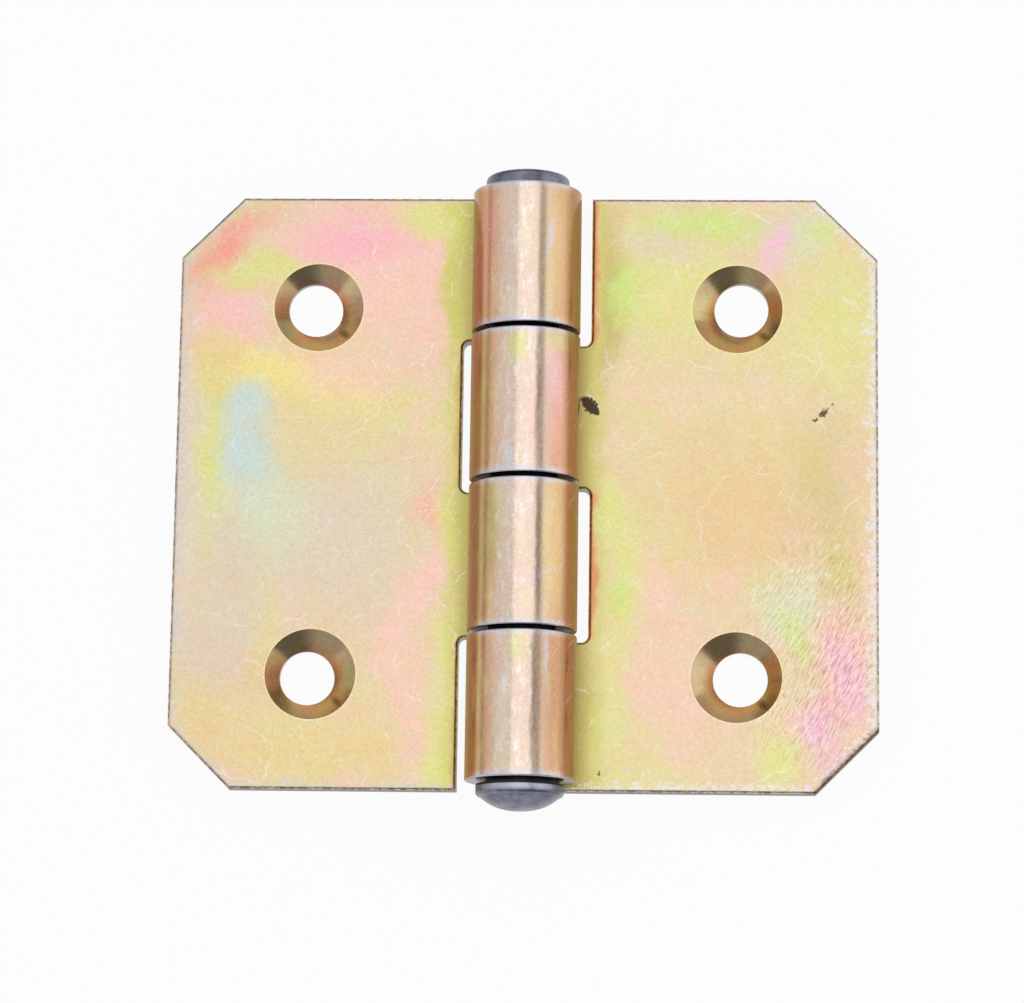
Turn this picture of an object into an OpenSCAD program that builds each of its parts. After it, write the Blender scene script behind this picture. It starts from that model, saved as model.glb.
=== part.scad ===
// Chest hinge: two pressed leaves, interleaved rolled knuckles and a headed rivet pin.
// It lies open and flat on its back faces: +Z is the countersunk front, the pin runs along Y.
// The origin is on the back plane, under the middle of the pin.

/* [Leaf] */
// Width of the open hinge over both leaves
open_w = 70; // [60:1:90]
// Length of each leaf along the pin
leaf_l = 60; // [50:1:80]
// Thickness of the sheet
sheet_t = 2.0; // [1.8:0.1:2.4]
// Length of the cut across each outer corner, along either edge
corner_cut = 6.2; // [3:0.1:9]
// Distance of the notched edge from the pin's centre line
notch_x = 6.4; // [6.3:0.1:8]
// Radius in the inner corners of the notches
notch_r = 0.7; // [0.6:0.1:1.6]
// Radius that the press rolls over the front edges
front_edge_r = 0.35; // [0.2:0.05:0.5]
// Radius left on the back edges after tumbling
back_edge_r = 0.2; // [0.1:0.05:0.3]

/* [Knuckles] */
// Outside diameter of the rolled knuckles
knuckle_d = 10.8; // [10.4:0.1:12]
// Gap between neighbouring knuckles
knuckle_gap = 0.4; // [0.2:0.05:0.8]
// How far the end knuckles stop short of the leaf's ends
end_inset = 0.5; // [0.2:0.1:1]
// Clearance that the relief beside an end knuckle leaves round the pin's head
relief_gap = 0.4; // [0.2:0.1:1]
// Seam left between the free end of a curl and the front of its own leaf
seam_gap = 0.25; // [0.1:0.05:0.6]

/* [Screw holes] */
// Distance of the countersinks from the pin's centre line
hole_x = 21; // [17:0.5:26]
// Distance between the two countersinks of a leaf
hole_pitch = 37.2; // [30:0.2:42]
// Diameter of the punched through hole
hole_d = 5.4; // [4.2:0.1:5.6]
// Diameter of the countersink at the front face
sink_d = 9.0; // [8.6:0.1:10]
// Included angle of the countersink in degrees
sink_angle = 100; // [100:1:110]
// How far the punch sits outside the countersink's centre
punch_out = 0.42; // [0:0.02:0.44]
// How far both punches sit along the leaf from the countersinks' centres
punch_along = 0.10; // [0:0.02:0.14]
// How much farther each punch sits from the leaf's middle than its countersink
punch_spread = 0.13; // [0:0.01:0.14]

/* [Pin] */
// Radial running clearance of the pin in the knuckles
pin_clearance = 0.08; // [0.02:0.01:0.1]
// Diameter of the formed head
formed_head_d = 8.6; // [8.2:0.1:9.6]
// Thickness of the formed head's rim
formed_rim_t = 1.2; // [1:0.1:1.6]
// Height of the formed head's crown above its rim
formed_crown_h = 1.3; // [0.6:0.1:2]
// Diameter of the flat in the middle of that crown
formed_tip_d = 1.0; // [0.4:0.1:3]
// Diameter of the riveted head
riveted_head_d = 8.3; // [7.8:0.1:9]
// Thickness of the riveted head's rim
riveted_rim_t = 1.5; // [1:0.1:2]
// Height of the riveted head's crown above its rim
riveted_crown_h = 0.5; // [0.2:0.05:0.8]
// Diameter of the flat in the middle of that crown
riveted_tip_d = 0.4; // [0.2:0.1:2]
// Radius of the outer edges of both heads
head_edge_r = 0.4; // [0.2:0.05:0.45]
// Clearance under the riveted head
riveted_seat = 0.05; // [0.02:0.01:0.1]
// End play left under the formed head
end_play = 0.3; // [0.1:0.05:0.4]

/* [Hidden] */
$fn = 120;

// Segments of a crown's circle, of which only a short arc is kept
crown_fn = 720;

// Overlap of joined solids, and reach of the cutting tools past the faces that they cut
past = 0.5;
// Reach of the edge tools above the sheet, which keeps them under the free end of a curl
lift = seam_gap / 2;

knuckle_r = knuckle_d / 2;
bore_r = knuckle_r - sheet_t;
pin_r = bore_r - pin_clearance;
half_w = open_w / 2;
half_l = leaf_l / 2;

// Ends along the pin of the two knuckles that a leaf carries
pitch = leaf_l / 4;
stack_end = half_l - end_inset;
end_knuckle = [pitch + knuckle_gap / 2, stack_end];
inner_knuckle = [-pitch + knuckle_gap / 2, -knuckle_gap / 2];

// The end tongue is cut back beside the pin's head, as far as its knuckle stops short
head_reach = max(formed_head_d, riveted_head_d) / 2 + relief_gap;
relief_x = sqrt(head_reach ^ 2 - (knuckle_r - sheet_t) ^ 2);
relief_r = end_inset / 2;

// The curl runs from the underside of the pin round to just above its own leaf
curl_start = -90;
curl_end = 180 + asin((knuckle_r - sheet_t - seam_gap) / knuckle_r);

// Plan of the leaf that lies on the left, walked anticlockwise from its outer bottom corner:
// [x, y, radius of an inner corner, false where the tongue runs on into the curl]
OUTLINE = [
    [-half_w + corner_cut, -half_l, 0, true],
    [-notch_x, -half_l, 0, true],
    [-notch_x, inner_knuckle[0], notch_r, true],
    [0, inner_knuckle[0], 0, false],
    [0, inner_knuckle[1], 0, false],
    [-notch_x, inner_knuckle[1], notch_r, true],
    [-notch_x, end_knuckle[0], notch_r, true],
    [0, end_knuckle[0], 0, false],
    [0, end_knuckle[1], 0, false],
    [-relief_x, end_knuckle[1], relief_r, true],
    [-relief_x, half_l, 0, true],
    [-half_w + corner_cut, half_l, 0, true],
    [-half_w, half_l - corner_cut, 0, true],
    [-half_w, -half_l + corner_cut, 0, true]
];
SIDES = len(OUTLINE);

function spot(i) = let (c = OUTLINE[(i + SIDES) % SIDES]) [c[0], c[1]];
function inner_r(i) = OUTLINE[(i + SIDES) % SIDES][2];
function is_free(i) = OUTLINE[(i + SIDES) % SIDES][3];
function heading(i) = let (d = spot(i + 1) - spot(i)) d / norm(d);
function bearing(v) = atan2(v[1], v[0]);

// Centre of the round in inner corner i, which lies in the open notch
function round_centre(i) = spot(i) + inner_r(i) * (heading(i) - heading(i - 1));

// How far a cut along an edge starts after its corner: back to the round, flush with the
// curl, or past an outer corner
function trim(i) = inner_r(i) > 0 ? inner_r(i) : (is_free(i) ? -past : 0);

// Section of the tool that rounds an edge at the origin; the sheet lies at x > 0, y < 0
module edge_section(r, reach = past) {
    difference() {
        translate([-reach, -r])
            square([reach + r, r + lift]);
        translate([r, -r])
            circle(r);
    }
}

// Tool that rounds the whole rim of the leaf where it meets the plane z = 0, sheet below
module rim_cutter(r) {
    for (i = [0 : SIDES - 1]) {
        run = norm(spot(i + 1) - spot(i));
        if (is_free(i) || is_free(i + 1)) {
            translate(spot(i) + trim(i) * heading(i))
                rotate([0, 0, bearing(heading(i))])
                    rotate([90, 0, 90])
                        linear_extrude(run - trim(i) - trim(i + 1))
                            edge_section(r);
        }
        if (inner_r(i) > 0) {
            translate(round_centre(i))
                rotate([0, 0, bearing(heading(i - 1))])
                    rotate_extrude(angle = 90)
                        translate([inner_r(i), 0])
                            edge_section(r, min(past, inner_r(i) / 2));
        }
    }
}

module leaf_plan() {
    polygon([for (i = [0 : SIDES - 1]) spot(i)]);
    for (i = [0 : SIDES - 1]) {
        if (inner_r(i) > 0) {
            difference() {
                translate(spot(i))
                    rotate(bearing(heading(i)))
                        translate([-past, -inner_r(i)])
                            square(inner_r(i) + past);
                translate(round_centre(i))
                    circle(inner_r(i));
            }
        }
    }
}

// Section of a knuckle across the pin, with the root of its tongue
module curl_section() {
    reach = knuckle_d;
    translate([-past, 0])
        square([past, sheet_t]);
    translate([0, knuckle_r])
        difference() {
            circle(knuckle_r);
            circle(bore_r);
            polygon([
                [0, 0],
                reach * [cos(curl_end), sin(curl_end)],
                [-reach, -reach],
                [0, -reach]
            ]);
        }
}

// Knuckle between the two ends in span, rounded at its outer end edges
module knuckle(span) {
    difference() {
        translate([0, span[1], 0])
            rotate([90, 0, 0])
                linear_extrude(span[1] - span[0])
                    curl_section();
        translate([0, span[0], knuckle_r])
            curl_edge_cutter();
        translate([0, span[1], knuckle_r])
            mirror([0, 1, 0])
                curl_edge_cutter();
    }
}

// Tool that rounds the outer edge of a curl whose end faces -Y
module curl_edge_cutter() {
    rotate([90, 0, 0])
        rotate([0, 0, curl_start])
            rotate_extrude(angle = curl_end - curl_start)
                translate([knuckle_r, 0])
                    mirror([1, 0])
                        edge_section(back_edge_r);
}

// Countersink and the punched hole beside its centre, at the end of the leaf named by side
module screw_hole(side) {
    slope = tan(sink_angle / 2);
    depth = sink_d / 2 / slope;
    translate([0, 0, sheet_t - depth])
        cylinder(h = depth + past, r1 = 0, r2 = sink_d / 2 + past * slope);
    translate([-punch_out, side * punch_spread - punch_along, -past])
        cylinder(h = sheet_t + 2 * past, d = hole_d);
}

// The leaf that lies on the left; the other is the same pressing turned half round
module leaf() {
    difference() {
        union() {
            linear_extrude(sheet_t)
                leaf_plan();
            knuckle(end_knuckle);
            knuckle(inner_knuckle);
        }
        translate([0, 0, sheet_t])
            rim_cutter(front_edge_r);
        mirror([0, 0, 1])
            rim_cutter(back_edge_r);
        for (side = [-1, 1])
            translate([-hole_x, side * hole_pitch / 2, 0])
                screw_hole(side);
    }
}

module leaf_left() {
    color("goldenrod")
        leaf();
}

module leaf_right() {
    color("darkkhaki")
        rotate([0, 0, 180])
            leaf();
}

// Section of a head standing on y = 0: a rim with a rounded edge, and a crown that curves up
// from the round to a flat in the middle
module head_section(radius, rim_t, crown_h, tip_d) {
    shoulder = radius - head_edge_r;
    chord = shoulder - tip_d / 2;
    crown_r = (chord ^ 2 + crown_h ^ 2) / (2 * crown_h);
    square([radius, rim_t - head_edge_r]);
    square([shoulder, rim_t]);
    translate([shoulder, rim_t - head_edge_r])
        circle(head_edge_r);
    square([tip_d / 2, rim_t + crown_h]);
    intersection() {
        translate([tip_d / 2, rim_t + crown_h - crown_r])
            circle(crown_r, $fn = crown_fn);
        translate([tip_d / 2, rim_t - head_edge_r])
            square([chord, crown_h + past]);
    }
}

module pin() {
    formed_seat_y = stack_end + end_play;
    riveted_seat_y = stack_end + riveted_seat;
    color("slategray")
        translate([0, 0, knuckle_r])
            rotate([90, 0, 0])
                rotate_extrude() {
                    translate([0, -riveted_seat_y - past])
                        square([pin_r, riveted_seat_y + formed_seat_y + 2 * past]);
                    translate([0, formed_seat_y])
                        head_section(formed_head_d / 2, formed_rim_t, formed_crown_h, formed_tip_d);
                    translate([0, -riveted_seat_y])
                        mirror([0, 1])
                            head_section(riveted_head_d / 2, riveted_rim_t, riveted_crown_h,
                                riveted_tip_d);
                }
}

leaf_left();
leaf_right();
pin();
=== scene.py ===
"""A small flat chest hinge, dressed, lit and framed as it lies open on a white table.

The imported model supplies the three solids: two pressed leaves with rolled knuckles and the rivet
pin that joins them. This script gives them their finishes, yellow-passivated zinc on the leaves
and bare steel on the pin, and sets up the table, the lamps and the camera.
"""
import logging
import math
from dataclasses import dataclass
from enum import Enum
from typing import Mapping, Optional, Sequence, Union

import bpy
from mathutils import Matrix, Vector

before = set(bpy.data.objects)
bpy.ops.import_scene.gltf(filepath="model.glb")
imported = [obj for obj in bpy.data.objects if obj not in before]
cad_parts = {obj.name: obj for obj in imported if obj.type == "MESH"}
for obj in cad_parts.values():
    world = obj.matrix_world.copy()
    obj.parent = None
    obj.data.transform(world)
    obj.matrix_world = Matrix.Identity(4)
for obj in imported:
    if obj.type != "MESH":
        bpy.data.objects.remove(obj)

LOG = logging.getLogger("chest_hinge")
MM = 0.001
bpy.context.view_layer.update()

Value = Union[float, Sequence[float], bpy.types.NodeSocket]


class Tint(Enum):
    """Colours of the passivated film, the bare metals and the marks, and of the painted shade and
    highlights, as 8-bit sRGB.
    """

    TAN = (230, 205, 170)
    SAND = (222, 205, 186)
    STRAW = (226, 212, 160)
    YELLOW = (240, 224, 142)
    GOLD = (232, 208, 148)
    AMBER = (229, 189, 134)
    LIME = (221, 223, 140)
    MOSS = (200, 202, 96)
    LEAF = (205, 226, 132)
    MINT = (214, 222, 192)
    ICE = (199, 217, 216)
    ROSE = (246, 200, 190)
    SALMON = (243, 178, 160)
    CORAL = (246, 158, 146)
    BLUSH = (248, 184, 192)
    MAGENTA = (222, 138, 176)
    ORCHID = (240, 192, 208)
    COPPER = (214, 168, 130)
    BRONZE = (178, 130, 86)
    OLIVE = (190, 178, 104)
    KHAKI = (208, 192, 140)
    FAWN = (214, 176, 142)
    PEWTER = (132, 124, 130)
    CHALK = (240, 238, 236)
    PEARL = (238, 224, 214)
    FROST = (214, 219, 238)
    RUST = (214, 130, 92)
    UMBER = (112, 80, 58)
    LILAC = (222, 213, 207)
    SOOT = (62, 44, 40)
    STEEL = (134, 137, 154)
    SCALE = (104, 105, 118)
    RIM_HIGHLIGHT = (226, 227, 240)
    GAP_SHADE = (30, 28, 30)

    @property
    def linear(self) -> tuple[float, float, float, float]:
        """The colour in linear light with full alpha."""
        parts = []
        for level in self.value:
            part = level / 255.0
            parts.append(part / 12.92 if part <= 0.04045 else ((part + 0.055) / 1.055) ** 2.4)
        return (parts[0], parts[1], parts[2], 1.0)


class Graph:
    """Adds shader nodes to one node tree and joins them."""

    def __init__(self, tree: bpy.types.ShaderNodeTree) -> None:
        """Keep the tree that the nodes go into.

        Args:
            tree: The node tree of a material, a world or a group.
        """
        self.tree = tree

    def feed(self, socket: bpy.types.NodeSocket, value: Value) -> None:
        """Give an input socket a constant or a link.

        Args:
            socket: The input.
            value: A number, a vector, a colour or another node's output.
        """
        if isinstance(value, bpy.types.NodeSocket):
            self.tree.links.new(value, socket)
        else:
            socket.default_value = value

    def node(
        self,
        kind: str,
        inputs: Optional[Mapping[Union[str, int], Value]] = None,
        **settings: object,
    ) -> bpy.types.Node:
        """Add one node.

        Args:
            kind: The node's type name.
            inputs: Values for its inputs, by name or number.
            settings: Properties of the node itself.

        Returns:
            The node.
        """
        made = self.tree.nodes.new(kind)
        for name, value in settings.items():
            setattr(made, name, value)
        for key, value in (inputs or {}).items():
            self.feed(made.inputs[key], value)
        return made

    def math(
        self, operation: str, first: Value, second: Value = 0.0, clamp: bool = False
    ) -> bpy.types.NodeSocket:
        """Add a math node.

        Args:
            operation: The operation's name.
            first: The first value.
            second: The second value.
            clamp: Whether the result is kept between 0 and 1.

        Returns:
            The result.
        """
        inputs = {0: first, 1: second}
        return self.node("ShaderNodeMath", inputs, operation=operation, use_clamp=clamp).outputs[0]

    def vector(self, operation: str, first: Value, second: Value) -> bpy.types.NodeSocket:
        """Add a vector math node with two vector inputs.

        Args:
            operation: The operation's name.
            first: The first vector.
            second: The second vector.

        Returns:
            The vector that comes out.
        """
        inputs = {0: first, 1: second}
        return self.node("ShaderNodeVectorMath", inputs, operation=operation).outputs[0]

    def mix(
        self, amount: Value, under: Value, over: Value, mode: str = "MIX"
    ) -> bpy.types.NodeSocket:
        """Lay one colour over another.

        Args:
            amount: How much of the upper colour shows, from 0 to 1.
            under: The lower colour.
            over: The upper colour.
            mode: The blend mode.

        Returns:
            The mixed colour.
        """
        inputs = {0: amount, 6: under, 7: over}
        made = self.node("ShaderNodeMix", inputs, data_type="RGBA", blend_type=mode)
        return made.outputs[2]

    def ease(
        self, value: Value, start: float, end: float, low: float = 0.0, high: float = 1.0
    ) -> bpy.types.NodeSocket:
        """Turn a value into a smooth step.

        Args:
            value: The value.
            start: Where the step begins.
            end: Where the step ends.
            low: The result at the start.
            high: The result at the end.

        Returns:
            The eased value.
        """
        inputs = {
            "Value": value,
            "From Min": start,
            "From Max": end,
            "To Min": low,
            "To Max": high,
        }
        return self.node(
            "ShaderNodeMapRange", inputs, interpolation_type="SMOOTHSTEP"
        ).outputs[0]

    def noise(
        self,
        place: Value,
        scale: Value,
        detail: float = 2.0,
        roughness: float = 0.5,
        flat: bool = False,
    ) -> bpy.types.Node:
        """Add a noise texture.

        Args:
            place: The position that it is read at.
            scale: How many features fit in one unit.
            detail: The number of octaves.
            roughness: The share of each further octave.
            flat: Whether it changes along X and Y alone, as on flat sheet.

        Returns:
            The node; output 0 is the level and output 1 the colour.
        """
        inputs = {"Vector": place, "Scale": scale, "Detail": detail, "Roughness": roughness}
        reach = "2D" if flat else "3D"
        return self.node("ShaderNodeTexNoise", inputs, noise_dimensions=reach)

    def group(
        self, tree: bpy.types.ShaderNodeTree, inputs: Mapping[str, Value]
    ) -> bpy.types.NodeOutputs:
        """Place a node group.

        Args:
            tree: The group's tree.
            inputs: Values for its inputs, by name.

        Returns:
            The outputs of the placed group.
        """
        placed = self.node("ShaderNodeGroup", node_tree=tree)
        for name, value in inputs.items():
            self.feed(placed.inputs[name], value)
        return placed.outputs


class GroupDraft:
    """A node group under construction, with its own graph."""

    def __init__(
        self,
        name: str,
        inputs: Sequence[tuple[str, str, Optional[Value]]],
        outputs: Sequence[tuple[str, str]],
    ) -> None:
        """Make the empty group and its sockets.

        Args:
            name: The group's name.
            inputs: Name, socket type and default of each input.
            outputs: Name and socket type of each output.
        """
        self.tree = bpy.data.node_groups.new(name, "ShaderNodeTree")
        for label, kind, default in inputs:
            socket = self.tree.interface.new_socket(label, in_out="INPUT", socket_type=kind)
            if default is not None:
                socket.default_value = default
        for label, kind in outputs:
            self.tree.interface.new_socket(label, in_out="OUTPUT", socket_type=kind)
        self.graph = Graph(self.tree)
        self.given = self.graph.node("NodeGroupInput").outputs
        self.result = self.graph.node("NodeGroupOutput").inputs

    def give(self, name: str, value: Value) -> None:
        """Send a value to one of the group's outputs."""
        self.graph.feed(self.result[name], value)


@dataclass(frozen=True)
class Ramp:
    """A smooth step: where a value begins and ends it, and the results at both."""

    start: float
    end: float
    low: float = 0.0
    high: float = 1.0

    def over(self, g: Graph, value: Value) -> bpy.types.NodeSocket:
        """Ease a value over the ramp."""
        return g.ease(value, self.start, self.end, self.low, self.high)


@dataclass(frozen=True)
class Cloud:
    """A noise pattern: its features in a millimetre, octaves and the share of each octave."""

    scale: float
    detail: float
    roughness: float = 0.5
    flat: bool = True

    def read(self, g: Graph, place: Value) -> bpy.types.NodeSocket:
        """Read the pattern's level at a place."""
        return g.noise(place, self.scale, self.detail, self.roughness, self.flat).outputs[0]


@dataclass(frozen=True)
class Wander:
    """One slow displacement of a pattern: the size of its bends and their amount."""

    size: float
    amount: float


FLOAT, VECTOR = "NodeSocketFloat", "NodeSocketVector"


class Effects:
    """The shader node groups that the finishes share, each built once."""

    coarse_grain: float = 0.31
    fine_share: float = 0.65
    fine_roughness: float = 0.65
    hairline_depth: float = 0.35
    hairline_line: Ramp = Ramp(0.0, 0.05)
    scribble_bend: Cloud = Cloud(0.45, 1.0, 0.6)
    scribble_swing: tuple[float, float, float] = (1.5, 1.5, 0.0)
    scribble_break: Cloud = Cloud(0.33, 2.0, 0.6)
    scribble_kept: Ramp = Ramp(0.5, 0.57)
    scribble_line: Ramp = Ramp(0.0, 0.6)
    fray_edge: Ramp = Ramp(-0.12, 0.3)

    def __init__(self) -> None:
        """Build every group."""
        self.drift = self._drift("drift", flat=False)
        self.slide = self._drift("slide", flat=True)
        self.grain = self._grain()
        self.hairline = self._hairline()
        self.scribble = self._scribble()
        self.fray = self._fray()

    @staticmethod
    def _drift(name: str, flat: bool) -> bpy.types.ShaderNodeTree:
        """Build the group that moves a position by a slow noise, so that outlines wander.

        Args:
            name: The group's name.
            flat: Whether it serves the flat sheet alone.

        Returns:
            The group.
        """
        draft = GroupDraft(
            name,
            [("Place", VECTOR, None), ("Size", FLOAT, 5.0), ("Amount", FLOAT, 1.0)],
            [("Place", VECTOR)],
        )
        g, given = draft.graph, draft.given
        scale = g.math("DIVIDE", 1.0, given["Size"])
        cloud = g.noise(given["Place"], scale, 1.0, flat=flat).outputs[1]
        offset = g.vector("SUBTRACT", cloud, (0.5, 0.5, 0.5))
        inputs = {0: offset, "Scale": given["Amount"]}
        reach = g.node("ShaderNodeVectorMath", inputs, operation="SCALE")
        draft.give("Place", g.vector("ADD", given["Place"], reach.outputs[0]))
        return draft.tree

    @staticmethod
    def _grain() -> bpy.types.ShaderNodeTree:
        """Build the fine speckle of a plated sheet.

        Returns:
            The group; both outputs lie about 0.
        """
        draft = GroupDraft(
            "grain",
            [("Place", VECTOR, None), ("Size", FLOAT, 0.2)],
            [("Shade", FLOAT), ("Height", FLOAT)],
        )
        g, given = draft.graph, draft.given
        scale = g.math("DIVIDE", 1.0, given["Size"])
        fine = g.noise(given["Place"], scale, 1.0, Effects.fine_roughness).outputs[0]
        wider = g.math("MULTIPLY", scale, Effects.coarse_grain)
        coarse = g.noise(given["Place"], wider, 1.0).outputs[0]
        both = g.math(
            "ADD",
            g.math("MULTIPLY", fine, Effects.fine_share),
            g.math("MULTIPLY", coarse, 1.0 - Effects.fine_share),
        )
        draft.give("Shade", g.math("SUBTRACT", both, 0.5))
        plain = g.noise(given["Place"], scale, 0.0).outputs[0]
        draft.give("Height", g.math("SUBTRACT", plain, 0.5))
        return draft.tree

    @staticmethod
    def _hairline() -> bpy.types.ShaderNodeTree:
        """Build fine, slightly bent scratches that run one way.

        Returns:
            The group.
        """
        draft = GroupDraft(
            "hairline",
            [
                ("Place", VECTOR, None),
                ("Turn", FLOAT, 0.0),
                ("Length", FLOAT, 2.0),
                ("Width", FLOAT, 0.1),
                ("Level", FLOAT, 0.7),
            ],
            [("Mask", FLOAT)],
        )
        g, given = draft.graph, draft.given
        inputs = {"Vector": given["Place"], "Angle": g.math("MULTIPLY", given["Turn"], -1.0)}
        turned = g.node("ShaderNodeVectorRotate", inputs, rotation_type="Z_AXIS")
        along = g.math("DIVIDE", 1.0, given["Length"])
        across = g.math("DIVIDE", 1.0, given["Width"])
        pull = g.node("ShaderNodeCombineXYZ", {0: along, 1: across, 2: Effects.hairline_depth})
        level = g.noise(g.vector("MULTIPLY", turned.outputs[0], pull.outputs[0]), 1.0, 1.0)
        over = g.math("SUBTRACT", level.outputs[0], given["Level"])
        draft.give("Mask", Effects.hairline_line.over(g, over))
        return draft.tree

    @staticmethod
    def _scribble() -> bpy.types.ShaderNodeTree:
        """Build long thin scratches that change direction in corners and break off.

        Returns:
            The group.
        """
        draft = GroupDraft(
            "scribble",
            [("Place", VECTOR, None), ("Size", FLOAT, 6.0), ("Width", FLOAT, 0.1)],
            [("Mask", FLOAT)],
        )
        g, given = draft.graph, draft.given
        scale = g.math("DIVIDE", 1.0, given["Size"])
        curl = Effects.scribble_bend
        cloud = g.noise(given["Place"], curl.scale, curl.detail, curl.roughness, flat=True)
        bend = g.vector("SUBTRACT", cloud.outputs[1], (0.5, 0.5, 0.5))
        bend = g.vector("MULTIPLY", bend, Effects.scribble_swing)
        bent = g.vector("ADD", given["Place"], bend)
        inputs = {"Vector": bent, "Scale": scale}
        cells = g.node(
            "ShaderNodeTexVoronoi",
            inputs,
            feature="DISTANCE_TO_EDGE",
            voronoi_dimensions="2D",
        )
        across = g.math("MULTIPLY", cells.outputs["Distance"], given["Size"])
        line = g.math("SUBTRACT", 1.0, g.math("DIVIDE", across, given["Width"]))
        broken = Effects.scribble_break.read(g, given["Place"])
        kept = Effects.scribble_kept.over(g, broken)
        drawn = Effects.scribble_line.over(g, line)
        draft.give("Mask", g.math("MULTIPLY", drawn, kept))
        return draft.tree

    @staticmethod
    def _fray() -> bpy.types.ShaderNodeTree:
        """Build wear that is full at an edge, thins out over a width and is broken up.

        Returns:
            The group.
        """
        draft = GroupDraft(
            "fray",
            [
                ("Cloud", FLOAT, 0.5),
                ("Distance", FLOAT, 0.0),
                ("Width", FLOAT, 1.0),
                ("Raggedness", FLOAT, 4.0),
            ],
            [("Mask", FLOAT)],
        )
        g, given = draft.graph, draft.given
        rough = g.math("MULTIPLY", g.math("SUBTRACT", given["Cloud"], 0.5), given["Raggedness"])
        away = g.math("DIVIDE", given["Distance"], given["Width"])
        level = g.math("ADD", g.math("SUBTRACT", 0.5, away), rough)
        draft.give("Mask", Effects.fray_edge.over(g, level))
        return draft.tree


@dataclass(frozen=True)
class ColourPatch:
    """One soft patch of another colour in a finish, with sizes in millimetres; most are stains, a
    few are painted shade or painted reflections.
    """

    tint: Tint
    x: float
    y: float
    reach_x: float
    reach_y: float
    turn: float = 0.0
    strength: float = 0.8
    feather: float = 0.75

    def mask(self, g: Graph, place: bpy.types.NodeSocket) -> bpy.types.NodeSocket:
        """Work out where the patch lies.

        Args:
            g: The material's graph.
            place: The position in millimetres.

        Returns:
            The mask.
        """
        spread = 1.0 + self.feather
        fall = g.node("ShaderNodeTexGradient", {"Vector": place}, gradient_type="SPHERICAL")
        oval = fall.texture_mapping
        oval.vector_type = "TEXTURE"
        oval.mapping_z = "NONE"
        oval.translation = (self.x, self.y, 0.0)
        oval.rotation = (0.0, 0.0, math.radians(self.turn))
        oval.scale = (self.reach_x * spread, self.reach_y * spread, 1.0)
        inputs = {
            "Value": fall.outputs["Fac"],
            "From Min": 0.0,
            "From Max": 2.0 * self.feather / spread,
            "To Max": self.strength,
        }
        return g.node(
            "ShaderNodeMapRange", inputs, interpolation_type="SMOOTHSTEP"
        ).outputs[0]


LEFT_STAINS = (
    ColourPatch(Tint.SAND, -19.3, -4.8, 9.5, 7.5, 0, 0.9),
    ColourPatch(Tint.ROSE, -16.5, 25.4, 8.5, 4.6, 0, 0.9),
    ColourPatch(Tint.ROSE, -12.2, 19.6, 6.5, 6.6, 0, 0.75),
    ColourPatch(Tint.BLUSH, -16.8, 25.8, 5.4, 2.2, 8, 0.85),
    ColourPatch(Tint.BLUSH, -29.6, 17.4, 2.6, 3.2, 0, 0.8),
    ColourPatch(Tint.ROSE, -30.4, 17.8, 4.4, 4.6, 0, 0.8),
    ColourPatch(Tint.CORAL, -30.9, 24.3, 4.8, 1.7, 45, 0.85, 0.95),
    ColourPatch(Tint.LIME, -27.4, 22.4, 4.6, 1.3, 8, 0.85),
    ColourPatch(Tint.LIME, -9.0, 27.8, 4.6, 1.5, 0, 0.9),
    ColourPatch(Tint.MOSS, -7.6, 21.0, 1.2, 6.6, 0, 0.8),
    ColourPatch(Tint.YELLOW, -24.2, 11.2, 8.2, 2.7, -14, 0.95),
    ColourPatch(Tint.GOLD, -31.2, 13.0, 2.2, 3.0, 0, 0.8),
    ColourPatch(Tint.STRAW, -23.0, 5.2, 5.5, 4.4, 0, 0.8),
    ColourPatch(Tint.ROSE, -18.2, 11.6, 4.4, 2.2, -10, 0.6),
    ColourPatch(Tint.LIME, -30.9, 3.6, 2.2, 7.0, 0, 0.85),
    ColourPatch(Tint.ICE, -28.6, 9.0, 2.2, 1.8, 0, 0.85),
    ColourPatch(Tint.ICE, -27.7, 3.2, 2.4, 4.8, 12, 0.95),
    ColourPatch(Tint.MINT, -26.2, -3.0, 4.6, 4.6, 0, 0.75),
    ColourPatch(Tint.SALMON, -9.2, -1.6, 2.0, 2.4, 0, 0.5),
    ColourPatch(Tint.ROSE, -9.8, -9.4, 5.4, 1.7, 55, 0.75),
    ColourPatch(Tint.ROSE, -12.2, -16.4, 5.2, 2.2, 84, 0.6),
    ColourPatch(Tint.ROSE, -10.6, -23.6, 4.6, 1.7, 100, 0.7),
    ColourPatch(Tint.ORCHID, -10.8, -27.2, 1.3, 1.9, 0, 0.8),
    ColourPatch(Tint.AMBER, -27.0, -18.4, 2.6, 2.2, 0, 0.4),
    ColourPatch(Tint.GOLD, -20.0, -25.6, 10.0, 3.0, 0, 0.7),
    ColourPatch(Tint.STRAW, -24.0, -21.6, 5.0, 3.6, 0, 0.4),
    ColourPatch(Tint.GOLD, -31.0, -22.6, 2.8, 3.4, 0, 0.6),
    ColourPatch(Tint.SAND, -30.4, -16.4, 3.0, 3.6, 0, 0.8),
    ColourPatch(Tint.STRAW, -26.0, -12.6, 1.5, 5.0, 0, 0.6),
    ColourPatch(Tint.SAND, -29.2, -9.8, 2.8, 6.2, 0, 0.8),
    ColourPatch(Tint.LIME, -7.2, -3.4, 1.3, 3.4, 0, 0.8),
    ColourPatch(Tint.LIME, -7.8, -15.6, 1.4, 3.0, 0, 0.6),
    ColourPatch(Tint.LIME, -7.6, -22.6, 1.3, 6.6, 0, 0.6),
    ColourPatch(Tint.SALMON, -8.6, -3.2, 1.2, 2.4, 0, 0.4),
    ColourPatch(Tint.LIME, -8.3, -28.2, 2.6, 1.4, 0, 0.9),
    ColourPatch(Tint.LILAC, -34.0, 0.0, 1.5, 14.0, 0, 0.6),
)

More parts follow.
